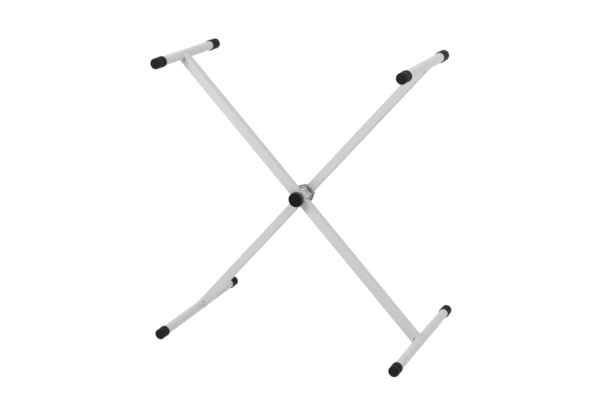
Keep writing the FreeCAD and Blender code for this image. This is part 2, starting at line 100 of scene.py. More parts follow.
def piece_of(name, points, faces):
    """A new object from points and faces, turned to face outwards."""
    mesh = bpy.data.meshes.new(name)
    mesh.from_pydata([tuple(point) for point in points], [], faces)
    shell = bmesh.new()
    shell.from_mesh(mesh)
    bmesh.ops.recalc_face_normals(shell, faces=shell.faces)
    shell.to_mesh(mesh)
    shell.free()
    piece = bpy.data.objects.new(name, mesh)
    bpy.context.scene.collection.objects.link(piece)
    return piece


def settle(piece):
    """Turns modifiers and placement into plain mesh, so the object lies at the origin."""
    bpy.context.view_layer.update()
    made = piece.evaluated_get(bpy.context.evaluated_depsgraph_get())
    mesh = bpy.data.meshes.new_from_object(made)
    mesh.transform(piece.matrix_world)
    piece.modifiers.clear()
    piece.data = mesh
    piece.matrix_world = Matrix.Identity(4)


def cut(piece, *cutters):
    """Cuts solids out of a piece and throws the cutters away."""
    for cutter in cutters:
        tool = piece.modifiers.new("cut", "BOOLEAN")
        tool.operation = "DIFFERENCE"
        tool.solver = "EXACT"
        tool.object = cutter
    settle(piece)
    for cutter in cutters:
        bpy.data.objects.remove(cutter)


def smooth(piece, crease=35):
    """Smooth shading that stays crisp at edges sharper than the crease, in degrees."""
    piece.data.shade_smooth()
    piece.data.set_sharp_from_angle(angle=math.radians(crease))


def paint(piece, material):
    """Gives every face of a piece one material."""
    piece.data.materials.clear()
    piece.data.materials.append(material)
    for face in piece.data.polygons:
        face.material_index = 0


def group_of(name, inputs, outputs):
    """An empty shader node group with named sockets, and its input and output nodes."""
    group = bpy.data.node_groups.new(name, "ShaderNodeTree")
    for label, kind in inputs:
        group.interface.new_socket(name=label, in_out="INPUT", socket_type=kind)
    for label, kind in outputs:
        group.interface.new_socket(name=label, in_out="OUTPUT", socket_type=kind)
    return group, group.nodes.new("NodeGroupInput"), group.nodes.new("NodeGroupOutput")


def surface_grain():
    """Fine relief and slow patches, each of a given size in metres."""
    group, given, result = group_of(
        "surface_grain",
        [("Place", "NodeSocketVector"), ("Grain Size", "NodeSocketFloat"),
         ("Patch Size", "NodeSocketFloat")],
        [("Relief", "NodeSocketFloat"), ("Patch", "NodeSocketFloat")])
    for size, result_name, octaves in (("Grain Size", "Relief", 3.0), ("Patch Size", "Patch", 2.0)):
        per_metre = group.nodes.new("ShaderNodeMath")
        per_metre.operation = "DIVIDE"
        per_metre.inputs[0].default_value = 1.0
        noise = group.nodes.new("ShaderNodeTexNoise")
        noise.inputs["Detail"].default_value = octaves
        group.links.new(given.outputs[size], per_metre.inputs[1])
        group.links.new(given.outputs["Place"], noise.inputs["Vector"])
        group.links.new(per_metre.outputs[0], noise.inputs["Scale"])
        group.links.new(noise.outputs["Fac"], result.inputs[result_name])
    return group


grain = surface_grain()


def new_material(name, grain_size, patch_size):
    """A material with a Principled shader and the grain group already reading the surface."""
    material = bpy.data.materials.new(name)
    material.use_nodes = True
    nodes = material.node_tree.nodes
    links = material.node_tree.links
    shader = nodes["Principled BSDF"]
    place = nodes.new("ShaderNodeTexCoord")
    relief = nodes.new("ShaderNodeGroup")
    relief.node_tree = grain
    relief.inputs["Grain Size"].default_value = grain_size
    relief.inputs["Patch Size"].default_value = patch_size
    links.new(place.outputs["Object"], relief.inputs["Place"])
    return material, nodes, links, shader, relief


def spread(nodes, links, source, limits=(0.0, 1.0), source_limits=(0.3, 0.7)):
    """A value that follows a mask between two limits."""
    ranged = nodes.new("ShaderNodeMapRange")
    ranged.inputs["From Min"].default_value = source_limits[0]
    ranged.inputs["From Max"].default_value = source_limits[1]
    ranged.inputs["To Min"].default_value = limits[0]
    ranged.inputs["To Max"].default_value = limits[1]
    links.new(source, ranged.inputs["Value"])
    return ranged.outputs["Result"]


def colour_socket(sockets, label):
    """The socket with that label that carries a colour, as a Mix node has several alike."""
    return next(socket for socket in sockets if socket.name == label and socket.type == "RGBA")


def two_tone(nodes, links, mask, tones):
    """A colour that goes from the first tone to the second with a mask."""
    mix = nodes.new("ShaderNodeMix")
    mix.data_type = "RGBA"
    colour_socket(mix.inputs, "A").default_value = tones[0]
    colour_socket(mix.inputs, "B").default_value = tones[1]
    links.new(mask, mix.inputs["Factor"])
    return colour_socket(mix.outputs, "Result")


def relief_on(nodes, links, shader, height, depth):
    """Bumps the surface by a height map of that depth in metres."""
    bump = nodes.new("ShaderNodeBump")
    bump.inputs["Distance"].default_value = depth
    links.new(height, bump.inputs["Height"])
    links.new(bump.outputs["Normal"], shader.inputs["Normal"])


def powder_coat():
    """Off-white satin powder coat with a faint drift between cool and warm white."""
    material, nodes, links, shader, relief = new_material(
        "powder_coat", paint_peel_size, paint_patch_size)
    shader.inputs["Specular IOR Level"].default_value = paint_sheen
    drift = spread(nodes, links, relief.outputs["Patch"])
    links.new(two_tone(nodes, links, drift, paint_tones), shader.inputs["Base Color"])
    gloss = spread(nodes, links, relief.outputs["Relief"], paint_roughness)
    links.new(gloss, shader.inputs["Roughness"])
    relief_on(nodes, links, shader, relief.outputs["Relief"], paint_peel_depth)
    return material


def plain_finish(name, tones, metallic, roughness, grain_size, grain_depth):
    """A finish of two close tones and a fine relief."""
    material, nodes, links, shader, relief = new_material(
        name, grain_size, patch_per_grain * grain_size)
    shader.inputs["Metallic"].default_value = metallic
    tone = spread(nodes, links, relief.outputs["Patch"])
    links.new(two_tone(nodes, links, tone, tones), shader.inputs["Base Color"])
    rough = spread(nodes, links, relief.outputs["Relief"], roughness)
    links.new(rough, shader.inputs["Roughness"])
    relief_on(nodes, links, shader, relief.outputs["Relief"], grain_depth)
    return material


def rounded_square(side, corner, flat_steps=14, corner_steps=6):
    """Points round a square of that side with round corners."""
    points = []
    straight = side / 2 - corner
    for quarter in range(4):
        turn = Matrix.Rotation(quarter * math.pi / 2, 2)
        for step in range(flat_steps):
            points.append(turn @ Vector((side / 2, straight * (2 * step / flat_steps - 1))))
        for step in range(corner_steps):
            angle = math.pi / 2 * step / corner_steps
            round_point = Vector((math.cos(angle), math.sin(angle))) * corner
            points.append(turn @ (round_point + Vector((straight, straight))))
    return points


def arm_place(arm, upper_bar, lower_bar):
    """Where an arm's middle is: X across the tube, Y to the rear, Z up along it."""
    upper = middle(upper_bar)
    lower = middle(lower_bar)
    along = (upper - lower).normalized()
    back = Vector((0, 1, 0))
    place = Matrix((back.cross(along), back, along)).transposed().to_4x4()
    centre = (upper + lower) / 2
    centre.y = middle(arm).y
    place.translation = centre
    return place, (upper - lower).length / 2


def bar_radius(bar):
    """Outer radius of a cross bar."""
    low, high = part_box(bar)
    return (high.z - low.z) / 2


def coped_tube(name, side, half_length, saddle, stations=24):
    """A square tube with round corners whose ends fit round bars of the saddle's radius."""
    points = []
    outlines = (rounded_square(side, arm_corner),
                rounded_square(side - 2 * arm_wall, arm_corner - arm_wall))
    for outline in outlines:
        for station in range(stations + 1):
            share = 2 * station / stations - 1
            for across, back in outline:
                reach = half_length - math.sqrt(saddle ** 2 - across ** 2)
                points.append((across, back, share * reach))
    count = len(outlines[0])
    wall = count * (stations + 1)
    faces = []
    for i in range(count):
        following = (i + 1) % count
        for station in range(stations):
            for start in (station * count, wall + station * count):
                faces.append((start + i, start + following,
                              start + count + following, start + count + i))
        for end in (0, stations * count):
            faces.append((end + i, end + following, wall + end + following, wall + end + i))
    return piece_of(name, points, faces)


def drill(radius, depth, along=0.0):
    """A round cutter through an arm from front to back, at a place along it."""
    mesh = bpy.data.meshes.new("drill")
    bit = bmesh.new()
    bmesh.ops.create_cone(bit, cap_ends=True, segments=drill_segments, radius1=radius,
                          radius2=radius, depth=depth)
    bmesh.ops.rotate(bit, matrix=Matrix.Rotation(math.pi / 2, 3, "X"), verts=bit.verts)
    bmesh.ops.translate(bit, vec=(0, 0, along), verts=bit.verts)
    bit.to_mesh(mesh)
    bit.free()
    cutter = bpy.data.objects.new("drill", mesh)
    bpy.context.scene.collection.objects.link(cutter)
    return cutter


def second_finish(piece, material, chosen):
    """Gives a second material to the faces for which chosen(face) is true."""
    piece.data.materials.append(material)
    for face in piece.data.polygons:
        if chosen(face):
            face.material_index = 1


paint_finish = powder_coat()
steel_shade_finish = plain_finish("bare_steel", steel_shade_tones, 0.0, steel_roughness, steel_grain_size,
                            steel_grain_depth)
arms = {}
for arm, node, upper_bar, lower_bar, body, pivot_hole in (
    ("front_arm", "front_arm_tube", "left_top_bar", "right_base_bar", "front_frame", bush_hole),
    ("rear_arm", "rear_arm_tube", "right_top_bar", "left_base_bar", "rear_frame", bolt_hole),
):
    place, half_length = arm_place(node, upper_bar, lower_bar)
    low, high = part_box(node)
    side = high.y - low.y
    bar = bar_radius(upper_bar)
    tube = coped_tube(arm, side, half_length, bar + saddle_gap)
    drain = half_length - bar - drain_inset
    cut(tube, drill(drain_radius, 2 * side, drain), drill(drain_radius, 2 * side, -drain),
        drill(pivot_hole, 2 * side))
    paint(tube, paint_finish)
    skin = side / 2 - arm_wall / 2
    # Inner faces and drain-hole walls take the near-black steel, painted shade inside the tube.
    second_finish(tube, steel_shade_finish, lambda face: (
        max(abs(face.center.x), abs(face.center.y)) < skin
        or math.hypot(face.center.x, abs(face.center.z) - drain) < drain_radius))
    tube.matrix_world = place
    settle(tube)
    smooth(tube)
    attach(tube, body)
    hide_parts(node)
    arms[arm] = (place, half_length, side)

# ---- cross bars ----
# Four lengths of 25 mm round steel tube lie across the ends of the arms: the upper two carry
# the keyboard and the longer lower two stand on the floor. They are sawn square, deburred
# inside their caps, and coated together with the arms.

bar_wall = 0.0015
bar_burr = 0.0003
on_axis = 1e-7


def rounded(corners, steps=5):
    """An outline from corners given as radius, place along the axis, and rounding."""
    outline = []
    for i, (radius, along, softness) in enumerate(corners):
        here = Vector((radius, along))
        if not softness:
            outline.append(here)
            continue
        before = (Vector(corners[i - 1][:2]) - here).normalized()
        after = (Vector(corners[(i + 1) % len(corners)][:2]) - here).normalized()
        half = before.angle(after) / 2
        centre = here + (before + after).normalized() * softness / math.sin(half)
        first = here + before * softness / math.tan(half) - centre
        last = here + after * softness / math.tan(half) - centre
        sweep = math.pi - 2 * half
        for step in range(steps + 1):
            share = step / steps
            spoke = first * math.sin((1 - share) * sweep) + last * math.sin(share * sweep)
            outline.append(centre + spoke / math.sin(sweep))
    return outline


def turned(name, outline, centre, segments=96):
    """A round piece about a line along Y through centre, from the outline of one side."""
    points = []
    rings = []
    for radius, along in outline:
        spokes = 1 if radius < on_axis else segments
        rings.append(list(range(len(points), len(points) + spokes)))
        for spoke in range(spokes):
            angle = 2 * math.pi * spoke / segments
            points.append(Vector(centre) + Vector(
                (radius * math.cos(angle), along, radius * math.sin(angle))))
    faces = []
    for i, ring in enumerate(rings):
        following = rings[(i + 1) % len(rings)]
        if len(ring) == 1 and len(following) == 1:
            continue
        for spoke in range(segments):
            corners = [ring[spoke % len(ring)], ring[(spoke + 1) % len(ring)],
                       following[(spoke + 1) % len(following)], following[spoke % len(following)]]
            faces.append(tuple(dict.fromkeys(corners)))
    return piece_of(name, points, faces)


for node, body in (("left_top_bar", "front_frame"), ("right_base_bar", "front_frame"),
                   ("right_top_bar", "rear_frame"), ("left_base_bar", "rear_frame")):
    low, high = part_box(node)
    half = (high.y - low.y) / 2
    radius = bar_radius(node)
    bore = radius - bar_wall
    outline = rounded([(radius, -half, bar_burr), (radius, half, bar_burr),
                       (bore, half, bar_burr), (bore, -half, bar_burr)])
    bar = turned(node.replace("_bar", "_cross_bar"), outline, middle(node))
    smooth(bar)
    paint(bar, paint_finish)
    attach(bar, body)
    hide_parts(node)

# ---- weld beads ----
# A bead of weld runs round each saddle, where the arm meets its bar. It is a fillet across the
# arm's front and back, nearly flush along the sides where tube and bar touch in line, and its
# ripples show softly through the coating.

bead_fillet = 0.0011
bead_flush = 0.0008
bead_fade = 4
ripple_pitch = 0.0021
ripple_share = 0.07
bead_steps = 300
bead_sides = 12


def bead_tree():
    """Geometry nodes: a rippled round bead along a closed line of edges."""
    tree = bpy.data.node_groups.new("weld_bead", "GeometryNodeTree")
    for label, kind in (("Path", "NodeSocketGeometry"), ("Ripple Pitch", "NodeSocketFloat"),
                        ("Ripple Share", "NodeSocketFloat"), ("Steps", "NodeSocketInt"),
                        ("Sides", "NodeSocketInt"), ("Finish", "NodeSocketMaterial")):
        tree.interface.new_socket(name=label, in_out="INPUT", socket_type=kind)
    tree.interface.new_socket(name="Bead", in_out="OUTPUT", socket_type="NodeSocketGeometry")
    nodes = tree.nodes
    links = tree.links
    given = nodes.new("NodeGroupInput")
    result = nodes.new("NodeGroupOutput")
    line = nodes.new("GeometryNodeMeshToCurve")
    size = nodes.new("GeometryNodeInputNamedAttribute")
    size.inputs["Name"].default_value = "bead_size"
    resample = nodes.new("GeometryNodeResampleCurve")
    parameter = nodes.new("GeometryNodeSplineParameter")
    cycles = nodes.new("ShaderNodeMath")
    cycles.operation = "DIVIDE"
    angle = nodes.new("ShaderNodeMath")
    angle.operation = "MULTIPLY"
    angle.inputs[1].default_value = 2 * math.pi
    wave = nodes.new("ShaderNodeMath")
    wave.operation = "SINE"
    ripple = nodes.new("ShaderNodeMath")
    ripple.operation = "MULTIPLY_ADD"
    ripple.inputs[2].default_value = 1.0
    radius = nodes.new("ShaderNodeMath")
    radius.operation = "MULTIPLY"
    section = nodes.new("GeometryNodeCurvePrimitiveCircle")
    section.inputs["Radius"].default_value = 1.0
    tube = nodes.new("GeometryNodeCurveToMesh")
    shaded = nodes.new("GeometryNodeSetShadeSmooth")
    realize = nodes.new("GeometryNodeRealizeInstances")
    finish = nodes.new("GeometryNodeSetMaterial")
    links.new(given.outputs["Path"], line.inputs["Mesh"])
    links.new(line.outputs["Curve"], resample.inputs["Curve"])
    links.new(given.outputs["Steps"], resample.inputs["Count"])
    links.new(parameter.outputs["Length"], cycles.inputs[0])
    links.new(given.outputs["Ripple Pitch"], cycles.inputs[1])
    links.new(cycles.outputs[0], angle.inputs[0])
    links.new(angle.outputs[0], wave.inputs[0])
    links.new(wave.outputs[0], ripple.inputs[0])
    links.new(given.outputs["Ripple Share"], ripple.inputs[1])
    links.new(ripple.outputs[0], radius.inputs[0])
    links.new(size.outputs["Attribute"], radius.inputs[1])
    links.new(given.outputs["Sides"], section.inputs["Resolution"])
    links.new(resample.outputs["Curve"], tube.inputs["Curve"])
    links.new(radius.outputs[0], tube.inputs["Scale"])
    links.new(section.outputs["Curve"], tube.inputs["Profile Curve"])
    links.new(tube.outputs["Mesh"], shaded.inputs["Geometry"])
    links.new(shaded.outputs["Geometry"], realize.inputs["Geometry"])
    links.new(realize.outputs["Geometry"], finish.inputs["Geometry"])
    links.new(given.outputs["Finish"], finish.inputs["Material"])
    links.new(finish.outputs["Geometry"], result.inputs["Bead"])
    return tree


def set_inputs(modifier, **values):
    """Sets a node modifier's inputs by their names, with blanks written as underscores."""
    for item in modifier.node_group.interface.items_tree:
        if item.in_out == "INPUT" and item.name.replace(" ", "_") in values:
            modifier[item.identifier] = values[item.name.replace(" ", "_")]


bead_nodes = bead_tree()
for arm, end, bar_node, body in (
    ("front_arm", 1, "left_top_bar", "front_frame"),
    ("front_arm", -1, "right_base_bar", "front_frame"),
    ("rear_arm", 1, "right_top_bar", "rear_frame"),
    ("rear_arm", -1, "left_base_bar", "rear_frame"),
):
    place, half_length, side = arms[arm]
    saddle = bar_radius(bar_node) + saddle_gap
    seam = []
    sizes = []
    for across, back in rounded_square(side, arm_corner):
        reach = half_length - math.sqrt(saddle ** 2 - across ** 2)
        seam.append((across, back, end * reach))
        steepness = min(1.0, abs(across) / (side / 2)) ** bead_fade
        sizes.append(bead_fillet + (bead_flush - bead_fillet) * steepness)
    name = bar_node.replace("_bar", "_weld_bead")
    mesh = bpy.data.meshes.new(name)
    mesh.from_pydata(seam, [(i, (i + 1) % len(seam)) for i in range(len(seam))], [])
    mesh.attributes.new("bead_size", "FLOAT", "POINT").data.foreach_set("value", sizes)
    bead = bpy.data.objects.new(name, mesh)
    bpy.context.scene.collection.objects.link(bead)
    bead.matrix_world = place
    layer = bead.modifiers.new("bead", "NODES")
    layer.node_group = bead_nodes
    set_inputs(layer, Ripple_Pitch=ripple_pitch, Ripple_Share=ripple_share, Steps=bead_steps,
               Sides=bead_sides, Finish=paint_finish)
    settle(bead)
    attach(bead, body)

# ---- rubber caps ----
# Eight black moulded caps are pushed over the bars' ends: the longer ones are the keyboard
# rests, the shorter ones the feet. Each has a plain end band, a narrow groove and a thicker
# collar whose open mouth stands proud of the bar. The rubber is matt and finely mottled.

cap_radius = 0.0145
cap_groove_radius = 0.0138
cap_groove_width = 0.0016
cap_collar_length = 0.013
cap_end_wall = 0.004
cap_edge = 0.0012
cap_lip = 0.0006
cap_mouth_lip = 0.0003
cap_clearance = 0.00005
rubber_grain_size = 0.0006
rubber_grain_depth = 0.00006
rubber_patch_size = 0.005
rubber_mottle = (0.35, 0.75)
rubber_sheen = 0.08
rubber_roughness = (0.48, 0.66)
rubber_tones = ((0.0080, 0.0080, 0.0084, 1.0), (0.0230, 0.0230, 0.0240, 1.0))


def black_rubber():
    """Matt black rubber with a fine grain and a dusty mottle."""
    material, nodes, links, shader, relief = new_material(
        "black_rubber", rubber_grain_size, rubber_patch_size)
    shader.inputs["Specular IOR Level"].default_value = rubber_sheen
    mottle = spread(nodes, links, relief.outputs["Patch"], source_limits=rubber_mottle)
    links.new(two_tone(nodes, links, mottle, rubber_tones), shader.inputs["Base Color"])
    matt = spread(nodes, links, relief.outputs["Relief"], rubber_roughness)
    links.new(matt, shader.inputs["Roughness"])
    relief_on(nodes, links, shader, relief.outputs["Relief"], rubber_grain_depth)
    return material


rubber_finish = black_rubber()
for bar in ("left", "right"):
    for level in ("top", "base"):
        for end, inward in (("front", 1), ("rear", -1)):
            node = f"{bar}_{level}_{end}_cap"
            low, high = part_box(node)
            length = high.y - low.y
            collar_radius = (high.z - low.z) / 2
            bore = bar_radius(f"{bar}_{level}_bar") + cap_clearance
            collar = length - cap_collar_length
            groove = collar - cap_groove_width
            outline = [
                (radius, inward * (along - length / 2))
                for radius, along in rounded([
                    (0, 0, 0), (cap_radius, 0, cap_edge), (cap_radius, groove, cap_lip),
                    (cap_groove_radius, groove, 0), (cap_groove_radius, collar, 0),
                    (collar_radius, collar, cap_lip), (collar_radius, length, cap_lip),
                    (bore, length, cap_mouth_lip), (bore, cap_end_wall, 0),
                    (0, cap_end_wall, 0)])
            ]
            cap = turned(f"{bar}_{level}_{end}_rubber_cap", outline, middle(node))
            smooth(cap)
            paint(cap, rubber_finish)
            on_front = (bar == "left") == (level == "top")
            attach(cap, "front_frame" if on_front else "rear_frame")
            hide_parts(node)

# ---- clutch halves ----
# Two zinc castings face each other on the pivot bolt and lock the arms by rings of face teeth.
# Each is a round rim on a cone that ends in two ears, which straddle the arm. They are plated
# dull grey and tumbled soft at the edges, and their side flats and ear tips are given a lighter
# copy of the zinc, a painted highlight where those faces turn towards the lamps.

clutch_rim_gap = 0.0024
clutch_rim_band = 0.0026
clutch_rim_shoulder = 0.0012
clutch_rim_edge = 0.0008
clutch_ear_reach = 0.0155
clutch_ear_wall = 0.0016
front_cone_radius = 0.0244
front_ear_radius = 0.0216
front_flat = 0.0240
rear_cone_radius = 0.0272
rear_ear_radius = 0.0244
rear_flat = 0.0275
clutch_channel_fit = 0.0001
clutch_tumbled_edge = 0.0004
clutch_tumbled_steps = 2
clutch_sharp_angle = 24
clutch_segments = 144
tooth_count = 36
tooth_inner = 0.0135
tooth_outer = 0.0215
tooth_tip = 0.0002
tooth_root = 0.0022
tooth_foot = 0.0026
tooth_stations = 6
tooth_tip_angle = 0.9
tooth_root_angle = 4.1
trough_play = 0.0003
spring_pocket = 0.0105
spring_pocket_floor = 0.0031
zinc_grain_size = 0.0007
zinc_grain_depth = 0.000006
zinc_patch_size = 0.012
zinc_metallic = 0.7
zinc_roughness = (0.36, 0.52)
zinc_tones = ((0.240, 0.239, 0.236, 1.0), (0.290, 0.288, 0.285, 1.0))
# The lighter zinc of the side flats and ear tips is a painted highlight, as these faces turn
# towards the lamps.
painted_highlight_roughness = (0.34, 0.46)
painted_highlight_tones = ((0.400, 0.400, 0.397, 1.0), (0.430, 0.430, 0.426, 1.0))
painted_highlight_grain_depth = zinc_grain_depth / 3
same_way = 0.9995


def cast_zinc():
    """Dull plated casting with a fine sand relief and slow patches of tone."""
    material, nodes, links, shader, relief = new_material(
        "cast_zinc", zinc_grain_size, zinc_patch_size)
    shader.inputs["Metallic"].default_value = zinc_metallic
    tone = spread(nodes, links, relief.outputs["Patch"])
    links.new(two_tone(nodes, links, tone, zinc_tones), shader.inputs["Base Color"])
    rough = spread(nodes, links, relief.outputs["Relief"], zinc_roughness)
    links.new(rough, shader.inputs["Roughness"])
    relief_on(nodes, links, shader, relief.outputs["Relief"], zinc_grain_depth)
    return material


def prism(name, outline, half_depth):
    """A cutter: an outline in X and Y, as deep as stated to both sides along Z."""
    count = len(outline)
    points = [(x, y, z) for z in (-half_depth, half_depth) for x, y in outline]
    faces = [tuple(range(count)), tuple(range(count, 2 * count))]
    for i in range(count):
        following = (i + 1) % count
        faces.append((i, following, count + following, count + i))
    return piece_of(name, points, faces)


def ring_of_teeth_tree():
    """Geometry nodes: a part copied evenly about Y and set on the casting."""
    tree = bpy.data.node_groups.new("ring_of_teeth", "GeometryNodeTree")
    for label, kind in (("Casting", "NodeSocketGeometry"), ("Tooth", "NodeSocketObject"),
                        ("Count", "NodeSocketInt"), ("Finish", "NodeSocketMaterial")):
        tree.interface.new_socket(name=label, in_out="INPUT", socket_type=kind)
    tree.interface.new_socket(name="Half", in_out="OUTPUT", socket_type="NodeSocketGeometry")
    nodes = tree.nodes
    links = tree.links
    given = nodes.new("NodeGroupInput")
    result = nodes.new("NodeGroupOutput")
    tooth = nodes.new("GeometryNodeObjectInfo")
    spots = nodes.new("GeometryNodePoints")
    index = nodes.new("GeometryNodeInputIndex")
    share = nodes.new("ShaderNodeMath")
    share.operation = "DIVIDE"
    angle = nodes.new("ShaderNodeMath")
    angle.operation = "MULTIPLY"
    angle.inputs[1].default_value = 2 * math.pi
    turn = nodes.new("ShaderNodeCombineXYZ")
    copies = nodes.new("GeometryNodeInstanceOnPoints")
    both = nodes.new("GeometryNodeJoinGeometry")
    realize = nodes.new("GeometryNodeRealizeInstances")
    finish = nodes.new("GeometryNodeSetMaterial")
    links.new(given.outputs["Tooth"], tooth.inputs["Object"])
    links.new(given.outputs["Count"], spots.inputs["Count"])
    links.new(index.outputs["Index"], share.inputs[0])
    links.new(given.outputs["Count"], share.inputs[1])
    links.new(share.outputs[0], angle.inputs[0])
    links.new(angle.outputs[0], turn.inputs["Y"])
    links.new(spots.outputs["Points"], copies.inputs["Points"])
    links.new(tooth.outputs["Geometry"], copies.inputs["Instance"])
    links.new(turn.outputs["Vector"], copies.inputs["Rotation"])
    links.new(given.outputs["Casting"], both.inputs["Geometry"])
    links.new(copies.outputs["Instances"], both.inputs["Geometry"])
    links.new(both.outputs["Geometry"], realize.inputs["Geometry"])
    links.new(realize.outputs["Geometry"], finish.inputs["Geometry"])
    links.new(given.outputs["Finish"], finish.inputs["Material"])
    links.new(finish.outputs["Geometry"], result.inputs["Half"])
    return tree


def one_tooth():
    """A tooth that widens outwards, so that all of them fit between one another."""
    points = []
    for station in range(tooth_stations + 1):
        radius = tooth_inner + (tooth_outer - tooth_inner) * station / tooth_stations
        tip = radius * math.tan(math.radians(tooth_tip_angle))
        root = radius * math.tan(math.radians(tooth_root_angle))
        for across, along in ((-tip, tooth_tip), (tip, tooth_tip), (root, tooth_root),
                              (root, tooth_foot), (-root, tooth_foot), (-root, tooth_root)):
            points.append((across, along, radius))
    last = 6 * tooth_stations
    faces = [tuple(range(6)), tuple(range(last, last + 6))]
    for start in range(0, last, 6):
        for i in range(6):
            following = (i + 1) % 6
            faces.append((start + i, start + following, start + 6 + following, start + 6 + i))
    return piece_of("clutch_tooth", points, faces)


zinc_finish = cast_zinc()
painted_highlight_finish = plain_finish("ground_zinc", painted_highlight_tones, zinc_metallic, painted_highlight_roughness,
                             zinc_grain_size, painted_highlight_grain_depth)
teeth_nodes = ring_of_teeth_tree()
for half, arm, body, facing, cone_radius, ear_radius, flat in (
    ("rear_clutch", "rear_arm", "rear_frame", 0.0,
     rear_cone_radius, rear_ear_radius, rear_flat),
    ("front_clutch", "front_arm", "front_frame", math.pi,
     front_cone_radius, front_ear_radius, front_flat),
):
    node = half + "_half"
    place, half_length, side = arms[arm]
    low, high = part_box(node)
    rim_radius = (high.x - low.x) / 2
    arm_face = abs(place.translation.y) - side / 2
    rim_face = clutch_rim_gap / 2
    rim_back = rim_face + clutch_rim_band
    ear_end = arm_face + clutch_ear_reach
    channel = side / 2 + clutch_channel_fit
    pocket_floor = arm_face - spring_pocket_floor
    far = 2 * rim_radius
    slope = (front_flat - channel - clutch_ear_wall) / ear_end
    casting = turned(half, rounded([
        (bolt_hole, pocket_floor, 0), (spring_pocket, pocket_floor, 0),
        (spring_pocket, rim_face, 0), (tooth_inner - trough_play, rim_face, 0),
        (tooth_inner - trough_play, tooth_root, 0), (tooth_outer + trough_play, tooth_root, 0),
        (tooth_outer + trough_play, rim_face, 0), (rim_radius, rim_face, clutch_rim_edge),
        (rim_radius, rim_back, clutch_rim_edge), (cone_radius, rim_back + clutch_rim_shoulder, 0),
        (ear_radius, ear_end, clutch_tumbled_edge), (bolt_hole, ear_end, 0)]),
        (0, 0, 0), segments=clutch_segments)
    channel_floor = arm_face - saddle_gap
    cutters = [prism("channel", [
        (-channel, channel_floor), (channel, channel_floor), (channel, far), (-channel, far)], far)]
    for hand in (-1, 1):
        cutters.append(prism("flat", [
            (hand * flat, 0), (hand * far, 0), (hand * far, far),
            (hand * (flat - slope * far), far)], far))
    cut(casting, *cutters)
    soften = casting.modifiers.new("tumbled", "BEVEL")
    soften.width = clutch_tumbled_edge
    soften.segments = clutch_tumbled_steps
    soften.limit_method = "ANGLE"
    soften.angle_limit = math.radians(clutch_sharp_angle)
    settle(casting)
    tooth = one_tooth()
    teeth = casting.modifiers.new("teeth", "NODES")
    teeth.node_group = teeth_nodes
    set_inputs(teeth, Tooth=tooth, Count=tooth_count, Finish=zinc_finish)
    crossing = place.copy()
    crossing.translation.y = 0
    casting.matrix_world = crossing @ Matrix.Rotation(facing, 4, "Z")
    turn = casting.matrix_world.to_3x3()
    highlit_ways = [turn @ Vector(way).normalized()
              for way in ((1, slope, 0), (-1, slope, 0), (0, 1, 0))]
    settle(casting)
    bpy.data.objects.remove(tooth)
    paint(casting, zinc_finish)
    # Faces turned like the side flats and ear tips take the lighter zinc: a painted highlight.
    second_finish(casting, painted_highlight_finish,
                  lambda face: max(face.normal.dot(way) for way in highlit_ways) > same_way)
    smooth(casting)
    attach(casting, body)
    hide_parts(node)

# ---- pivot bolt and washer ----
# A zinc-plated carriage bolt passes from the back through both arms, its round head outside and
# its square neck held in the rear arm. In front a plain washer lies between the arm and the
# knob. The plating is bright, with faint turning marks about the bolt.

head_radius = 0.010
head_height = 0.005
head_dome = 0.0036
head_edge = 0.0005
bolt_radius = 0.004
bolt_point = 0.0008
washer_edge = 0.0002
washer_bore = 0.00408
plating_grain_size = 0.0005
plating_grain_depth = 0.00001
plating_patch_size = 0.008
plating_mark_pitch = 0.0004
plating_roughness = (0.22, 0.38)
plating_tones = ((0.46, 0.46, 0.45, 1.0), (0.58, 0.58, 0.57, 1.0))
pivot = (middle("rear_arm_sleeve").x, 0.0, middle("rear_arm_sleeve").z)


def turning_marks():
    """Rings about a line along Y through the object's own origin, as a height."""
    group, given, result = group_of(
        "turning_marks", [("Place", "NodeSocketVector"), ("Pitch", "NodeSocketFloat")],
        [("Rings", "NodeSocketFloat")])
    flat = group.nodes.new("ShaderNodeVectorMath")
    flat.operation = "MULTIPLY"
    flat.inputs[1].default_value = (1, 0, 1)
    radius = group.nodes.new("ShaderNodeVectorMath")
    radius.operation = "LENGTH"
    rings = group.nodes.new("ShaderNodeMath")
    rings.operation = "DIVIDE"
    noise = group.nodes.new("ShaderNodeTexNoise")
    noise.noise_dimensions = "1D"
    noise.inputs["Scale"].default_value = 1.0
    group.links.new(given.outputs["Place"], flat.inputs[0])
    group.links.new(flat.outputs["Vector"], radius.inputs[0])
    group.links.new(radius.outputs["Value"], rings.inputs[0])
    group.links.new(given.outputs["Pitch"], rings.inputs[1])
    group.links.new(rings.outputs[0], noise.inputs["W"])
    group.links.new(noise.outputs["Fac"], result.inputs["Rings"])
    return group


marks = turning_marks()


def marks_on(nodes, links, pitch, centre):
    """Places the turning marks about a centre on a material's surface."""
    place = nodes.new("ShaderNodeTexCoord")
    moved = nodes.new("ShaderNodeMapping")
    moved.inputs["Location"].default_value = [-value for value in centre]
    turned_marks = nodes.new("ShaderNodeGroup")
    turned_marks.node_tree = marks
    turned_marks.inputs["Pitch"].default_value = pitch
    links.new(place.outputs["Object"], moved.inputs["Vector"])
    links.new(moved.outputs["Vector"], turned_marks.inputs["Place"])
    return turned_marks.outputs["Rings"]


def zinc_plating():
    """Bright zinc plating over turned steel."""
    material, nodes, links, shader, relief = new_material(
        "zinc_plating", plating_grain_size, plating_patch_size)
    shader.inputs["Metallic"].default_value = 1.0
    tone = spread(nodes, links, relief.outputs["Patch"])
    links.new(two_tone(nodes, links, tone, plating_tones), shader.inputs["Base Color"])
    rings = marks_on(nodes, links, plating_mark_pitch, pivot)
    links.new(spread(nodes, links, rings, plating_roughness), shader.inputs["Roughness"])
    relief_on(nodes, links, shader, rings, plating_grain_depth)
    return material


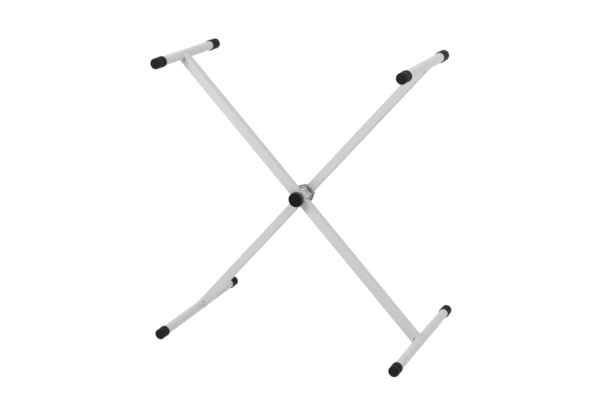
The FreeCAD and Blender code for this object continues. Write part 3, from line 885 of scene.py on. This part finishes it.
plating_finish = zinc_plating()
low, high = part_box("pivot_bolt")
seat = high.y - head_height
bolt = turned("carriage_bolt", rounded([
    (0, low.y, 0), (bolt_radius - bolt_point, low.y, 0), (bolt_radius, low.y + bolt_point, 0),
    (bolt_radius, seat, 0), (head_radius, seat, head_edge), (head_radius, high.y, head_dome),
    (0, high.y, 0)], steps=8), pivot)
smooth(bolt)
paint(bolt, plating_finish)
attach(bolt, "rear_frame")
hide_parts("pivot_bolt")

low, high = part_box("thrust_washer")
washer_radius = (high.x - low.x) / 2
washer = turned("knob_washer", rounded([
    (washer_bore, low.y, washer_edge), (washer_radius, low.y, washer_edge),
    (washer_radius, high.y, washer_edge), (washer_bore, high.y, washer_edge)]), pivot)
smooth(washer)
paint(washer, plating_finish)
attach(washer, "clutch_carriage")
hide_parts("thrust_washer")

# ---- parts inside the arms and the clutch ----
# Steel sleeves stop the bolt from crushing the tubes, a nylon bush lets the front arm turn, and
# a coil spring pushes the clutch halves apart and shortens as they close. They are hidden when
# the stand is together, and keep the shapes they have in the frame.

nylon_tones = ((0.72, 0.70, 0.63, 1.0), (0.66, 0.64, 0.57, 1.0))
nylon_roughness = (0.40, 0.55)
nylon_grain_size = 0.0008
nylon_grain_depth = 0.00002
wire_tones = ((0.34, 0.34, 0.35, 1.0), (0.22, 0.22, 0.23, 1.0))
wire_roughness = (0.20, 0.32)
wire_grain_size = 0.0004
wire_grain_depth = 0.00001

for node in ("rear_arm_sleeve", "front_arm_sleeve"):
    paint(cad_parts[node], plating_finish)
paint(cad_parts["pivot_bush"],
      plain_finish("natural_nylon", nylon_tones, 0.0, nylon_roughness, nylon_grain_size,
                   nylon_grain_depth))
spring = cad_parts["clutch_spring"]
paint(spring, plain_finish("spring_wire", wire_tones, 1.0, wire_roughness, wire_grain_size,
                           wire_grain_depth))
low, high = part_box("clutch_spring")
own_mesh(spring)

# ---- hand knob ----
# A black moulded knob with a threaded brass insert closes the clutch. Its grip is polished and
# has scooped flutes and a well rounded front edge, the front face is a satin shallow dish, and a
# round boss at the back bears on the washer.

knob_grip_radius = 0.0206
knob_hub_radius = 0.012
knob_hub_height = 0.0035
knob_skirt = 0.0014
knob_edge = 0.0034
knob_back_edge = 0.0006
knob_dish_radius = 0.0142
knob_dish_depth = 0.0008
knob_dish_edge = 0.0003
knob_button_radius = 0.0118
knob_button_rise = 0.0003
insert_seat = 0.00652
insert_length = 0.012
knob_bore_end = 0.0161
flute_count = 16
flute_radius = 0.0028
flute_depth = 0.0013
flute_softness = 0.0006
steps_per_flute = 22
knob_grain_size = 0.0005
knob_grain_depth = 0.000012
knob_patch_size = 0.004
knob_tones = ((0.0020, 0.0020, 0.0022, 1.0), (0.0040, 0.0040, 0.0043, 1.0))
knob_sheen = 0.12
knob_roughness = (0.20, 0.30)
grip_sheen = 0.25
grip_roughness = (0.08, 0.14)
grip_lean = 0.7
brass_tones = ((0.62, 0.44, 0.18, 1.0), (0.52, 0.36, 0.14, 1.0))
brass_roughness = (0.22, 0.34)
brass_grain_size = 0.0005
brass_grain_depth = 0.00001


def moulded_plastic(name, sheen, roughness):
    """Black plastic with a moulded skin."""
    material, nodes, links, shader, relief = new_material(
        name, knob_grain_size, knob_patch_size)
    shader.inputs["Specular IOR Level"].default_value = sheen
    tone = spread(nodes, links, relief.outputs["Patch"])
    links.new(two_tone(nodes, links, tone, knob_tones), shader.inputs["Base Color"])
    rough = spread(nodes, links, relief.outputs["Relief"], roughness)
    links.new(rough, shader.inputs["Roughness"])
    relief_on(nodes, links, shader, relief.outputs["Relief"], knob_grain_depth)
    return material


def fluted(piece, centre, outer):
    """Scoops evenly spaced flutes out of a turned grip, with soft crests between them."""
    reach = outer + flute_radius - flute_depth
    pitch = 2 * math.pi / flute_count
    for vertex in piece.data.vertices:
        across = vertex.co.x - centre[0]
        up = vertex.co.z - centre[2]
        radius = math.hypot(across, up)
        if radius < on_axis:
            continue
        angle = math.atan2(across, up)
        off = abs((angle + pitch / 2) % pitch - pitch / 2)
        side = reach * math.sin(off)
        if side >= flute_radius:
            continue
        scoop = reach * math.cos(off) - math.sqrt(flute_radius ** 2 - side ** 2)
        share = min(1.0, max(0.0, 0.5 + 0.5 * (scoop - radius) / flute_softness))
        blended = scoop + (radius - scoop) * share - flute_softness * share * (1 - share)
        vertex.co.x = centre[0] + across * blended / radius
        vertex.co.z = centre[2] + up * blended / radius


low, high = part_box("knob")
height = high.y - low.y
knob_centre = Vector((pivot[0], high.y, pivot[2]))
skirt_end = knob_hub_height + knob_skirt
knob_outline = [(radius, -along) for radius, along in rounded([
    (insert_seat, 0, 0), (knob_hub_radius, 0, knob_back_edge),
    (knob_hub_radius, knob_hub_height, knob_back_edge),
    (knob_grip_radius, skirt_end, knob_back_edge),
    (knob_grip_radius, height, knob_edge), (knob_dish_radius, height, knob_dish_edge),
    (knob_dish_radius, height - knob_dish_depth, 0),
    (knob_button_radius, height - knob_dish_depth, 0),
    (knob_button_radius, height - knob_dish_depth + knob_button_rise, knob_dish_edge / 2),
    (0, height - knob_dish_depth + knob_button_rise, 0), (0, knob_bore_end, 0),
    (bolt_hole, knob_bore_end, 0), (bolt_hole, insert_length, 0), (insert_seat, insert_length, 0),
], steps=8)]
knob = turned("hand_knob", knob_outline, knob_centre, segments=flute_count * steps_per_flute)
fluted(knob, knob_centre, knob_grip_radius)
smooth(knob)
paint(knob, moulded_plastic("moulded_plastic", knob_sheen, knob_roughness))
second_finish(knob, moulded_plastic("polished_grip", grip_sheen, grip_roughness), lambda face: (
    abs(face.normal.y) < grip_lean
    and (face.center - knob_centre).xz.length > knob_dish_radius))
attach(knob, "knob")
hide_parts("knob")
paint(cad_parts["knob_insert"],
      plain_finish("turned_brass", brass_tones, 1.0, brass_roughness, brass_grain_size,
                   brass_grain_depth))

# ---- floor, light and camera ----
# A plain white floor under soft studio light. The camera stands where the photograph was
# taken from: to the right of the front, a little above the stand, and tilted slightly.

floor_size = 60.0
floor_grey = 0.80
floor_glow = 1.09
floor_shadow_share = 0.10
room_light = 0.36
camera_azimuth = math.radians(24.11)
camera_elevation = math.radians(16.64)
camera_roll = math.radians(-1.29)
camera_distance = 3.2996
camera_lens = 73.2
camera_sensor = 36.0
camera_target = Vector((-0.00934, -0.00107, 0.36850))


def seen_directly(nodes, links):
    """1 where the camera, a mirror or glass looks at the surface, and 0 for light itself."""
    path = nodes.new("ShaderNodeLightPath")
    first = nodes.new("ShaderNodeMath")
    first.operation = "MAXIMUM"
    second = nodes.new("ShaderNodeMath")
    second.operation = "MAXIMUM"
    links.new(path.outputs["Is Camera Ray"], first.inputs[0])
    links.new(path.outputs["Is Glossy Ray"], first.inputs[1])
    links.new(first.outputs[0], second.inputs[0])
    links.new(path.outputs["Is Transmission Ray"], second.inputs[1])
    return second.outputs[0]


floor = piece_of("studio_floor", [
    (-floor_size / 2, -floor_size / 2, 0), (floor_size / 2, -floor_size / 2, 0),
    (floor_size / 2, floor_size / 2, 0), (-floor_size / 2, floor_size / 2, 0)], [(0, 1, 2, 3)])
floor_material = bpy.data.materials.new("white_floor")
floor_material.use_nodes = True
floor_material.cycles.emission_sampling = "NONE"
nodes = floor_material.node_tree.nodes
links = floor_material.node_tree.links
nodes.clear()
matt = nodes.new("ShaderNodeBsdfDiffuse")
matt.inputs["Color"].default_value = (floor_grey, floor_grey, floor_grey, 1.0)
glow = nodes.new("ShaderNodeEmission")
glow.inputs["Strength"].default_value = floor_glow
faint = nodes.new("ShaderNodeMixShader")
faint.inputs["Fac"].default_value = floor_shadow_share
chosen = nodes.new("ShaderNodeMixShader")
surface = nodes.new("ShaderNodeOutputMaterial")
links.new(glow.outputs["Emission"], faint.inputs[1])
links.new(matt.outputs["BSDF"], faint.inputs[2])
links.new(seen_directly(nodes, links), chosen.inputs["Fac"])
links.new(matt.outputs["BSDF"], chosen.inputs[1])
links.new(faint.outputs["Shader"], chosen.inputs[2])
links.new(chosen.outputs["Shader"], surface.inputs["Surface"])
floor.data.materials.append(floor_material)
floor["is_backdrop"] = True

world = bpy.data.worlds.new("studio")
bpy.context.scene.world = world
world.use_nodes = True
nodes = world.node_tree.nodes
links = world.node_tree.links
nodes.clear()
room = nodes.new("ShaderNodeBackground")
room.inputs["Color"].default_value = (1.0, 1.0, 1.0, 1.0)
room.inputs["Strength"].default_value = room_light
white = nodes.new("ShaderNodeBackground")
white.inputs["Color"].default_value = (1.0, 1.0, 1.0, 1.0)
white.inputs["Strength"].default_value = 1.0
chosen = nodes.new("ShaderNodeMixShader")
surface = nodes.new("ShaderNodeOutputWorld")
links.new(seen_directly(nodes, links), chosen.inputs["Fac"])
links.new(room.outputs["Background"], chosen.inputs[1])
links.new(white.outputs["Background"], chosen.inputs[2])
links.new(chosen.outputs["Shader"], surface.inputs["Surface"])

for name, spot, aim, size, power in (
    ("left_softbox", (-3.0, -1.6, 1.8), (0.0, 0.0, 0.4), 1.6, 30.0),
    ("right_softbox", (2.9, -1.4, 2.0), (0.0, 0.0, 0.4), 1.6, 25.0),
    ("high_softbox", (-0.8, -1.7, 2.15), (0.0, 0.0, 0.65), 0.7, 23.0),
    ("rear_softbox", (1.6, 0.9, 2.4), (0.0, 0.0, 0.45), 1.2, 13.0),
):
    lamp = bpy.data.lights.new(name, "AREA")
    lamp.size = size
    lamp.energy = power
    holder = bpy.data.objects.new(name, lamp)
    holder.location = spot
    holder.visible_camera = False
    holder.rotation_euler = (Vector(aim) - Vector(spot)).to_track_quat("-Z", "Y").to_euler()
    bpy.context.scene.collection.objects.link(holder)

bpy.context.scene.view_settings.view_transform = "Standard"
forward = Vector((-math.sin(camera_azimuth) * math.cos(camera_elevation),
                  math.cos(camera_azimuth) * math.cos(camera_elevation),
                  -math.sin(camera_elevation)))
sideways = Vector((math.cos(camera_azimuth), math.sin(camera_azimuth), 0))
upwards = sideways.cross(forward)
tilted_side = sideways * math.cos(camera_roll) + upwards * math.sin(camera_roll)
tilted_up = upwards * math.cos(camera_roll) - sideways * math.sin(camera_roll)
camera_data = bpy.data.cameras.new("camera")
camera_data.lens = camera_lens
camera_data.sensor_width = camera_sensor
camera = bpy.data.objects.new("camera", camera_data)
bpy.context.scene.collection.objects.link(camera)
stance = Matrix((tilted_side, tilted_up, -forward)).transposed().to_4x4()
stance.translation = camera_target - forward * camera_distance
camera.matrix_world = stance
bpy.context.scene.camera = camera

low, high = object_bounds()
